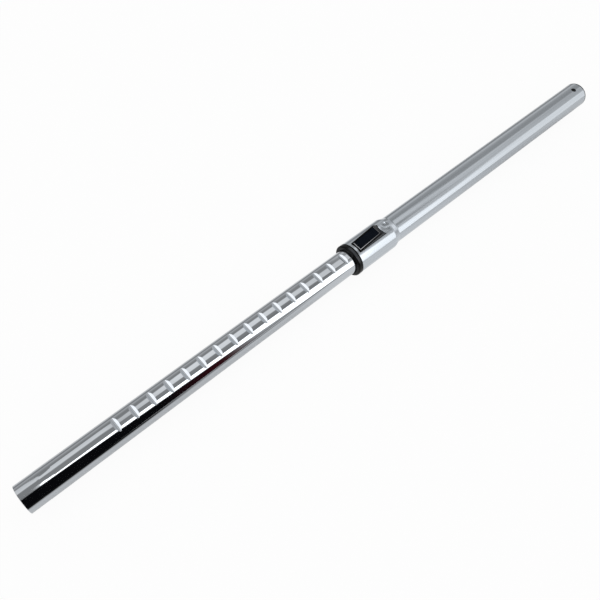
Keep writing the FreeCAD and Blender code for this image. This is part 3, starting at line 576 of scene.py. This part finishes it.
collar_sleeve = turned("collar_sleeve", [
    (FLANGE_LOW + SLEEVE_LIP, SLEEVE_BORE_R),
    *((FLANGE_LOW + SLEEVE_LIP * (1 - math.sin(math.radians(a))),
       SLEEVE_BORE_R + SLEEVE_LIP * (1 - math.cos(math.radians(a)))) for a in (30, 60, 90)),
    *((FLANGE_LOW + FLANGE_ROUND * (1 - math.cos(math.radians(a))),
       FLANGE_R - FLANGE_ROUND * (1 - math.sin(math.radians(a)))) for a in range(0, 91, 9)),
    (MOUTH - FLANGE_BACK_BREAK, FLANGE_R),
    (MOUTH, FLANGE_R - FLANGE_BACK_BREAK),
    (MOUTH, SLEEVE_R),
    (SLEEVE_END, SLEEVE_R),
    (SLEEVE_END, SLEEVE_BORE_R),
    (GROOVE_HIGH, SLEEVE_BORE_R),
    (GROOVE_HIGH, GROOVE_R),
    (GROOVE_LOW, GROOVE_R),
    (GROOVE_LOW, SLEEVE_BORE_R),
], ring=True)
cut(collar_sleeve, block(
    "sleeve_key", (GROOVE_HIGH + 0.01, -KEY_HALF, KEY_Z), (SLEEVE_END - 0.01, KEY_HALF, KEY_TOP)), "UNION")
cut(collar_sleeve, block(
    "sleeve_pocket", (TOOTH_X - TOOTH_REACH, -WINDOW_HALF, POCKET_Z),
    (WINDOW_HIGH, WINDOW_HALF, POCKET_TOP)))
cut(collar_sleeve, block(
    "tooth_slot", (TOOTH_X - TOOTH_REACH, -SLOT_HALF, SLOT_FOOT),
    (TOOTH_X + TOOTH_REACH, SLOT_HALF, POCKET_TOP)))
only(None)
bpy.ops.mesh.primitive_cylinder_add(
    vertices=64, radius=RELIEF_R * MM, depth=RELIEF_DEPTH * MM,
    location=(DISH_X * MM, 0, (RELIEF_Z + RELIEF_DEPTH / 2) * MM))
cut(collar_sleeve, named("dish_relief"))
for side in (-1, 1):
    near, far = sorted((side * EAR_IN, side * EAR_OUT))
    ear = block(
        "pivot_ear", (PIVOT_X - EAR_R, near, POCKET_Z - SINK), (PIVOT_X + EAR_R, far, PIVOT_Z + EAR_R))
    round_edges(
        ear, lambda p, angle: p.z > PIVOT_Z and abs(p.x - PIVOT_X) > 1 and near < p.y < far, EAR_ROUND, 6)
    only(None)
    bpy.ops.mesh.primitive_cylinder_add(
        vertices=32, radius=EAR_HOLE_R * MM, depth=4 * MM, rotation=(math.pi / 2, 0, 0),
        location=(PIVOT_X * MM, (near + far) / 2 * MM, PIVOT_Z * MM))
    cut(ear, named("ear_drill"))
    cut(collar_sleeve, ear, "UNION")
only(None)
bpy.ops.mesh.primitive_cylinder_add(
    vertices=32, radius=STUD_R * MM, depth=(STUD_TOP - POCKET_Z + STUD_SINK) * MM,
    location=(STUD_X * MM, 0, (STUD_TOP + POCKET_Z - STUD_SINK) / 2 * MM))
cut(collar_sleeve, named("spring_stud"), "UNION")
close_mesh(collar_sleeve)
smooth(collar_sleeve, 32)


def painted_crest_highlight(x, y, z):
    """Where a painted highlight lies: the crest of the ring's upper right."""
    return x.within(FLANGE_LOW + 1.0, MOUTH - 1.5, 1.5) * y.within(-20.0, 8.0, 6.0) * z.between(2.0, 6.0)


# The ring's crest carries a painted grey highlight in place of a reflection.
sleeve_plastic = moulded(
    "sleeve_plastic", (0.001, 0.001, 0.0012), (0.002, 0.002, 0.0023), 0.18, 0.06, 0.13,
    wear_and_highlight=painted_crest_highlight, painted_highlight_colour=(0.042, 0.045, 0.050))
dress(collar_sleeve, sleeve_plastic, "outer", "guide_sleeve")

# Air seal. A soft moulded rubber ring, squeezed by hand into the groove inside the flange. It wipes the
# inner tube and keeps air from leaking in between the tubes.

seal_rubber = moulded("seal_rubber", (0.016, 0.016, 0.016), (0.028, 0.027, 0.026), 0.72, 0.55)
coat("air_seal", seal_rubber)

# Handle liner. Black moulded plastic, pressed into the upper end of the outer tube, where it takes the
# spigot of the vacuum's handle. Only its thin rim shows, and its wall through the catch hole.

LINER_LOW = -30.0
LINER_R = 18.8
LINER_BORE_R = 17.65
RIM_ROUND = 0.5

socket_liner = turned("socket_liner", [
    (LINER_LOW, LINER_BORE_R),
    (LINER_LOW, LINER_R),
    (SHANK_END, LINER_R),
    (SHANK_END, SHANK_R),
    *((-RIM_ROUND * (1 - math.sin(math.radians(a))),
       SHANK_R - RIM_ROUND * (1 - math.cos(math.radians(a)))) for a in range(0, 91, 15)),
    *((-RIM_ROUND * (1 - math.cos(math.radians(a))),
       LINER_BORE_R + RIM_ROUND * (1 - math.sin(math.radians(a)))) for a in range(0, 91, 15)),
], ring=True)
close_mesh(socket_liner)
smooth(socket_liner, 32)

liner_plastic = moulded("liner_plastic", (0.002, 0.002, 0.0022), (0.004, 0.004, 0.0043), 0.38, 0.25, 0.12)
dress(socket_liner, liner_plastic, "outer", "handle_liner")

# Pivot pin, lock pawl and return spring. Ground pin, stamped pawl and bent strip of plain spring steel,
# hidden under the button. The pin holds it, the pawl's tooth drops into a notch, and the spring lifts it.


def rolled_steel(name, colour, dull):
    """Plain steel strip: rolling lines along it, and patches where the oil has dried."""
    material, tone = finish(name, colour)
    place = tone.add("TexCoord", out="Object")
    lines = tone.noise(place, 1.0, (120, 2600, 2600), 3.0)
    patch = tone.noise(place, 420.0, (1, 1, 1), 3.0)
    surface(tone, {
        "Base Color": patch.between(0.35, 0.7).blend((*colour, 1), (*(0.8 * c for c in colour), 1)),
        "Metallic": 1.0,
        "Roughness": dull + 0.12 * (lines - 0.5) + 0.10 * (patch - 0.5),
        "Normal": relief(tone, lines, 0.3, 0.006),
    })
    return material


plain_steel = rolled_steel("plain_steel", (0.50, 0.49, 0.48), 0.32)
for node in ("pivot_pin", "lock_pawl", "return_spring"):
    coat(node, plain_steel)

# Release button. A moulded rocker of glossy black plastic in the collar's window. Its top climbs from the
# mouth to a proud heel at the thumb dish, and a recess in the top takes the thumb pad.

BUTTON_LOW = -532.75
BUTTON_HIGH = -482.45
BUTTON_GAP = 0.35
BUTTON_HALF = 8.95
BUTTON_TOP_HALF = 7.3
BUTTON_FOOT_Z = 18.0
BUTTON_SHOULDER = 1.6
BUTTON_TOP_Z = 23.15
BUTTON_RISE = 8.2
BUTTON_HEEL = 12.15
BUTTON_HEEL_Z = 20.65
BUTTON_CORNER = 0.85
BUTTON_BEVEL = 0.5
PAINTED_LINE_WIDTH = 0.75
BUTTON_WALL = 1.2
BUTTON_ROOF = 4.0
HOLLOW_DROP = 18.0
RECESS_LIFT = 3.0
BOSS_DRILL = 20.0
BOSS_R = 1.7
BOSS_HALF = 5.9
BOSS_BORE_R = 1.05
PAWL_END = -517.0
PAWL_TOP = 19.2
PAWL_SLOT_HALF = 5.6
SKIRT_RISE = 2.2
PAD_LOW = -530.35
PAD_HIGH = -495.4
PAD_HALF = 6.36
PAD_DEPTH = 1.0
HEEL_X = BUTTON_HIGH - BUTTON_HEEL
SLOPE = BUTTON_RISE / (BUTTON_HIGH - BUTTON_LOW)


def button_top(x):
    """The height of the button's sloping top at a place along the wand."""
    return BUTTON_TOP_Z + (x - BUTTON_LOW) * SLOPE


def sloped_block(name, low_x, high_x, half, floor_drop, roof_lift):
    """A box under or over the button's sloping top."""
    tool = block(name, (low_x, -half, BUTTON_TOP_Z - floor_drop), (high_x, half, BUTTON_TOP_Z + roof_lift))
    for x in (low_x, high_x):
        pick(tool, "verts", lambda v: abs(v.co.x / MM - x) < 0.01)
        bpy.ops.transform.translate(value=(0, 0, (button_top(x) - BUTTON_TOP_Z) * MM))
    only(tool)
    return tool


heel_slope = (button_top(HEEL_X) - BUTTON_HEEL_Z) / BUTTON_HEEL
rocker_button = block(
    "rocker_button", (BUTTON_LOW, -BUTTON_HALF, BUTTON_FOOT_Z),
    (BUTTON_HIGH, BUTTON_HALF, BUTTON_TOP_Z - BUTTON_SHOULDER))
pick(rocker_button, "faces", lambda face: face.normal.z > 0.9)
bpy.ops.mesh.extrude_region_move(TRANSFORM_OT_translate={"value": (0, 0, BUTTON_SHOULDER * MM)})
bpy.ops.transform.resize(
    value=(1, BUTTON_TOP_HALF / BUTTON_HALF, 1), center_override=(0, 0, BUTTON_TOP_Z * MM))
for rise, low_z, high_z in ((BUTTON_RISE, BUTTON_FOOT_Z + 1, 99), (SKIRT_RISE, 0, BUTTON_FOOT_Z + 1)):
    pick(rocker_button, "verts", lambda v: v.co.x / MM > BUTTON_HIGH - 1 and low_z < v.co.z / MM < high_z)
    bpy.ops.transform.translate(value=(0, 0, rise * MM))
pick(rocker_button, "faces", lambda face: True)
bpy.ops.mesh.bisect(
    plane_co=(BUTTON_HIGH * MM, 0, BUTTON_HEEL_Z * MM), plane_no=(heel_slope, 0, 1),
    use_fill=True, clear_outer=True)
round_edges(
    rocker_button,
    lambda p, angle: p.x < BUTTON_LOW + 0.01 and abs(p.y) > BUTTON_TOP_HALF and p.z < BUTTON_TOP_Z - 0.1,
    BUTTON_CORNER, 5,
)
for crest in (True, False):
    round_edges(
        rocker_button,
        lambda p, angle: angle > 12 and abs(p.z - button_top(p.x)) < 0.02 and (p.x > HEEL_X - 0.1) == crest,
        BUTTON_BEVEL, 1)
cut(rocker_button, scoop_punch(BUTTON_GAP))
cut(rocker_button, sloped_block("pad_recess", PAD_LOW, PAD_HIGH, PAD_HALF, PAD_DEPTH, RECESS_LIFT))
cut(rocker_button, sloped_block(
    "button_hollow", PAWL_END + BUTTON_WALL, HEEL_X - BUTTON_WALL, BUTTON_HALF - BUTTON_WALL,
    HOLLOW_DROP, -PAD_DEPTH - BUTTON_ROOF))
cut(rocker_button, block(
    "pawl_slot", (BUTTON_LOW - 2, -PAWL_SLOT_HALF, 5), (PAWL_END + 0.1, PAWL_SLOT_HALF, PAWL_TOP)))
boss = block(
    "pin_boss", (PIVOT_X - BOSS_R, -BOSS_HALF, PIVOT_Z - BOSS_R),
    (PIVOT_X + BOSS_R, BOSS_HALF, button_top(PIVOT_X) - PAD_DEPTH - BUTTON_ROOF / 2))
round_edges(
    boss, lambda p, angle: p.z < PIVOT_Z and abs(p.x - PIVOT_X) > 1 and abs(p.y) < 1, BOSS_R * 0.98, 6)
only(None)
bpy.ops.mesh.primitive_cylinder_add(
    vertices=32, radius=BOSS_BORE_R * MM, depth=BOSS_DRILL * MM, rotation=(math.pi / 2, 0, 0),
    location=(PIVOT_X * MM, 0, PIVOT_Z * MM))
cut(boss, named("boss_drill"))
cut(rocker_button, boss, "UNION")
close_mesh(rocker_button)
smooth(rocker_button, 20)


def painted_frame_highlight(x, y, z):
    """A painted grey highlight line along the frame's inner edge beside the pad, strongest at the lower
    end.
    """
    below_top = (x - BUTTON_LOW) * SLOPE + BUTTON_TOP_Z - z
    past_low, past_right, past_high = PAD_LOW - x, (0 - y) - PAD_HALF, x - PAD_HIGH
    past_pad = x.math("MAXIMUM", x.math("MAXIMUM", past_low, past_right), past_high)
    # The painted highlight fades towards the heel.
    highlight_fade = 1 - 0.7 * x.between(BUTTON_LOW, HEEL_X)
    return past_pad.within(-0.1, PAINTED_LINE_WIDTH, 0.1) * (1 - below_top.between(0.25, 0.4)) * (
        1 - y.between(PAD_HALF - 0.2, PAD_HALF)) * highlight_fade


# The grey line along the frame is a painted highlight.
button_gloss = moulded(
    "button_gloss", (0.0015, 0.0015, 0.002), (0.003, 0.003, 0.0035), 0.14, 0.03, 0.05,
    wear_and_highlight=painted_frame_highlight, painted_highlight_colour=(0.42, 0.43, 0.45))
dress(rocker_button, button_gloss, "button", "release_button")

# Thumb pad. A thin panel of soft-touch blue-black plastic with a fine pebbled grain, glued into the
# recess in the button's top.

PAD_GAP = 0.06
PAD_SINK = 0.45
PAD_THICK = 0.55
PAD_EDGE = 0.15

thumb_panel = sloped_block(
    "thumb_panel", PAD_LOW + PAD_GAP, PAD_HIGH - PAD_GAP, PAD_HALF - PAD_GAP,
    PAD_SINK + PAD_THICK, -PAD_SINK)
round_edges(
    thumb_panel, lambda p, angle: angle > 40 and p.z > button_top(p.x) - PAD_SINK - 0.1, PAD_EDGE, 3)
close_mesh(thumb_panel)
smooth(thumb_panel, 40)


def soft_touch(name, colour, worn):
    """Soft-touch plastic: a pebbled mould grain and a faint polish where the thumb rubs."""
    material, tone = finish(name, colour)
    place = tone.add("TexCoord", out="Object")
    pebbles = tone.add("TexVoronoi", {"feature": "F1"}, {"Vector": place, "Scale": 2600.0}, out="Distance")
    wear_and_highlight = tone.noise(place, 70.0, (1, 1, 1), 3.0)
    surface(tone, {
        "Base Color": wear_and_highlight.between(0.35, 0.7).blend((*colour, 1), (*worn, 1)),
        "Roughness": 0.55 - 0.14 * (wear_and_highlight - 0.5) + 0.08 * pebbles,
        "Specular IOR Level": 0.03,
        "Normal": relief(tone, pebbles, 0.35, 0.02),
    })
    return material


pad_plastic = soft_touch("pad_plastic", (0.0025, 0.004, 0.007), (0.004, 0.006, 0.011))
dress(thumb_panel, pad_plastic, "button", "thumb_pad")

# Studio. The wand lies on a white paper floor, which keeps its faint shadow, under an even white dome. What
# the metal mirrors is a grey room with one long soft lamp and a black flag below it.

FLOOR_Z = -22.95
FLOOR_SIZE = 12.0
FLOOR_MIDDLE = -0.5
LENS = 36.0
SENSOR = 36.0
PAPER_DARK = (0.72, 0.72, 0.72, 1)
PAPER_LIGHT = (0.76, 0.76, 0.76, 1)
PAPER_WHITE = 0.94
GLOW = 0.32
GLOW_GAIN = 0.38
GLOW_LOSS = 0.62
MIRRORED_SHADE_BLACK = (0.01, 0.01, 0.01, 1)
MIRRORED_SHADE_GREY = (0.30, 0.30, 0.305, 1)
WINDOW_TURN = 120
WINDOW_REACH = 30
LAMP_TURN = 100
LAMP_REACH = 30
FLAG_BLACK = (0.004, 0.004, 0.005, 1)
FLAG_WARM = (0.05, 0.006, 0.01, 1)
FRONT_LIGHT = (1.7, 1.7, 1.72, 1)
BACK_GREY = (0.62, 0.62, 0.63, 1)
END_LIGHT = (1.35, 1.35, 1.36, 1)
LAMP_LIGHT = 3.0
CAMERA_PLACE = Vector((-936.13, -263.89, 653.14)) * MM
CAMERA_RIGHT = Vector((0.73928, -0.66902, 0.07671))
CAMERA_DOWN = Vector((-0.54488, -0.66122, -0.51564))

scene = bpy.context.scene
scene.view_settings.view_transform = "Standard"

only(None)
bpy.ops.mesh.primitive_plane_add(size=FLOOR_SIZE, location=(FLOOR_MIDDLE, 0, FLOOR_Z * MM))
paper_floor = named("paper_floor")
paper, tone = finish("paper", (1, 1, 1))
place = tone.add("TexCoord", out="Object")
fibres = tone.noise(place, 300.0, (1, 1, 1), 3.0)
seen, mirrored, through = (
    tone.add("LightPath", out=name) for name in ("Is Camera Ray", "Is Glossy Ray", "Is Transmission Ray"))
lit = tone.add("BsdfDiffuse", {}, {"Color": fibres.blend(PAPER_DARK, PAPER_LIGHT)})
white = tone.add("Emission", {}, {"Color": (1, 1, 1, 1), "Strength": 1.0})
spot_x, spot_y = (tone.add("SeparateXYZ", {}, {0: place}, out=axis) for axis in "XY")
# Seen in reflections only, the floor's glow is painted: raised near the collar and lowered along the shank.
glow = GLOW + GLOW_GAIN * spot_x.between(-0.64, -0.56) - GLOW_LOSS * spot_x.between(-0.46, -0.12)
share = PAPER_WHITE * seen + PAPER_WHITE * through + glow * mirrored
mixed = tone.add("MixShader", {}, {0: share, 1: lit, 2: white})
# Seen in reflections only, a painted black patch beside the wand and painted grey shade on the floor stand
# in for shade there.
past_low_end = spot_x.between(-0.84, -0.72)
painted_dark_patch = mirrored * (0 - spot_y).between(0.055, 0.20) * (1 - past_low_end)
black = tone.add("Emission", {}, {"Color": MIRRORED_SHADE_BLACK, "Strength": 1.0})
far_right = (0 - spot_y).between(0.12, 0.22) * past_low_end * (1 - spot_x.between(-0.58, -0.48))
dim = mirrored * (0.9 * spot_y.between(0.06, 0.14) + far_right)
painted_grey_shade = tone.add("Emission", {}, {"Color": MIRRORED_SHADE_GREY, "Strength": 1.0})
dimmed = tone.add("MixShader", {}, {0: dim, 1: mixed, 2: painted_grey_shade})
tone.add("OutputMaterial", {}, {"Surface": tone.add("MixShader", {}, {0: painted_dark_patch, 1: dimmed, 2: black})})
paper_floor.data.materials.append(paper)

studio = bpy.data.worlds.new("studio")
scene.world = studio
studio.use_nodes = True
studio.node_tree.nodes.clear()
tone = Tone(studio.node_tree)
look = tone.add("TexCoord", out="Generated")
along, side, up = (tone.add("SeparateXYZ", {}, {0: look}, out=axis) for axis in "XYZ")
turn = tone.math("ARCTAN2", side, up) * (180 / math.pi)


def track(stops):
    """Three values that change with the look along the wand, each stop an (along, first, second, third)."""
    points = [((a + 1) / 2, values) for a, *values in stops]
    ramp = tone.add("ValToRGB", {"stops": points}, {0: (along + 1) / 2})
    return [tone.add("SeparateColor", {}, {0: ramp}, out=i) for i in range(3)]


def grey_turn(stops):
    """A grey that changes with the turn about the wand, each stop an (angle, grey)."""
    points = [((a + 180) / 360, (v, v, v)) for a, v in stops]
    return tone.add("ValToRGB", {"stops": points}, {0: (turn + 180) / 360})


low_room = grey_turn((
    (-100, 0.35), (-84, 0.36), (-74, 0.54), (-60, 0.55), (-30, 0.34), (-16, 0.28), (0, 0.34), (40, 0.36),
    (62, 0.33), (74, 0.44), (84, 0.58), (100, 0.62),
))
upper_room = grey_turn((
    (-100, 0.64), (-60, 0.62), (-40, 0.70), (-30, 0.66), (-18, 0.38), (0, 0.40), (30, 0.44), (58, 0.48),
    (70, 0.68), (80, 0.70), (90, 0.46), (100, 0.40),
))
room = along.between(0.455, 0.485).blend(low_room, upper_room)
window_centre, window_half, window_light = track((
    (-0.10, 0.775, 0.57, 0.95), (-0.085, 0.66, 0.27, 1.0), (0.03, 0.66, 0.27, 1.0), (0.06, 0.61, 0.18, 0.8),
    (0.17, 0.615, 0.27, 1.15), (0.34, 0.61, 0.27, 1.1), (0.43, 0.575, 0.27, 0.95), (0.52, 0.50, 0.50, 0.9),
    (0.58, 0.47, 0.62, 0.9), (0.67, 0.33, 0.62, 0.85), (0.78, 0.33, 0.70, 0.65),
))
window_turn, window_reach = (window_centre - 0.4) * WINDOW_TURN, window_half * WINDOW_REACH
from_window = tone.math("ABSOLUTE", turn - window_turn) / window_reach
window_mask = 1 - from_window.between(0.78, 1.22)
lamp_centre, lamp_half, lamp_light = track((
    (-0.10, 0.90, 0.24, 0.0), (-0.08, 0.895, 0.24, 1.0), (0.0, 0.83, 0.24, 1.0), (0.10, 0.74, 0.32, 1.0),
    (0.26, 0.60, 0.40, 1.0), (0.40, 0.47, 0.78, 1.0), (0.47, 0.41, 0.77, 0.9), (0.50, 0.36, 0.84, 0.46),
    (0.58, 0.275, 0.82, 0.44), (0.66, 0.215, 0.82, 0.36),
    (0.73, 0.34, 0.94, 0.22), (0.80, 0.38, 0.90, 0.22), (0.90, 0.38, 0.90, 0.0),
))
lamp_turn, lamp_reach = (lamp_centre - 1) * LAMP_TURN, lamp_half * LAMP_REACH
from_lamp = tone.math("ABSOLUTE", turn - lamp_turn) / lamp_reach
lamp_mask = (1 - from_lamp.between(0.85, 1.1)) * lamp_light
flag_mask = (1 - (turn - lamp_turn + lamp_reach).between(-5.0, 1.0)) * (1 - along.between(0.24, 0.34)) * (
    turn.between(-150, -130)) * along.between(-0.55, -0.45)
front_mask = (1 - along.between(-0.60, -0.50)) * turn.between(2, 14) * (1 - turn.between(58, 72))
back_mask = along.between(0.82, 0.87)
end_mask = along.between(0.92, 0.945)
window_grey = tone.add("CombineXYZ", {}, {i: window_light for i in range(3)})
with_window = window_mask.blend(room, window_grey)
with_lamp = lamp_mask.blend(with_window, (LAMP_LIGHT, LAMP_LIGHT, LAMP_LIGHT, 1))
flag_black = along.between(0.12, 0.28).blend(FLAG_BLACK, FLAG_WARM)
with_flag = flag_mask.blend(with_lamp, flag_black)
with_front = front_mask.blend(with_flag, FRONT_LIGHT)
with_back = back_mask.blend(with_front, BACK_GREY)
mirrored_room = end_mask.blend(with_back, END_LIGHT)
mirrored = tone.add("LightPath", out="Is Glossy Ray")
tone.add("OutputWorld", {}, {"Surface": tone.add("Background", {}, {
    "Color": mirrored.blend((1, 1, 1, 1), mirrored_room), "Strength": 1.0})})

lens = bpy.data.cameras.new("camera")
lens.sensor_width, lens.sensor_fit, lens.lens = SENSOR, "HORIZONTAL", LENS
lens.clip_start, lens.clip_end = 0.01, 50.0
camera = bpy.data.objects.new("camera", lens)
scene.collection.objects.link(camera)
back = CAMERA_RIGHT.cross(-CAMERA_DOWN).normalized()
camera.matrix_world = Matrix.Translation(CAMERA_PLACE) @ Matrix(
    (CAMERA_RIGHT, -CAMERA_DOWN, back)).transposed().to_4x4()
scene.camera = camera
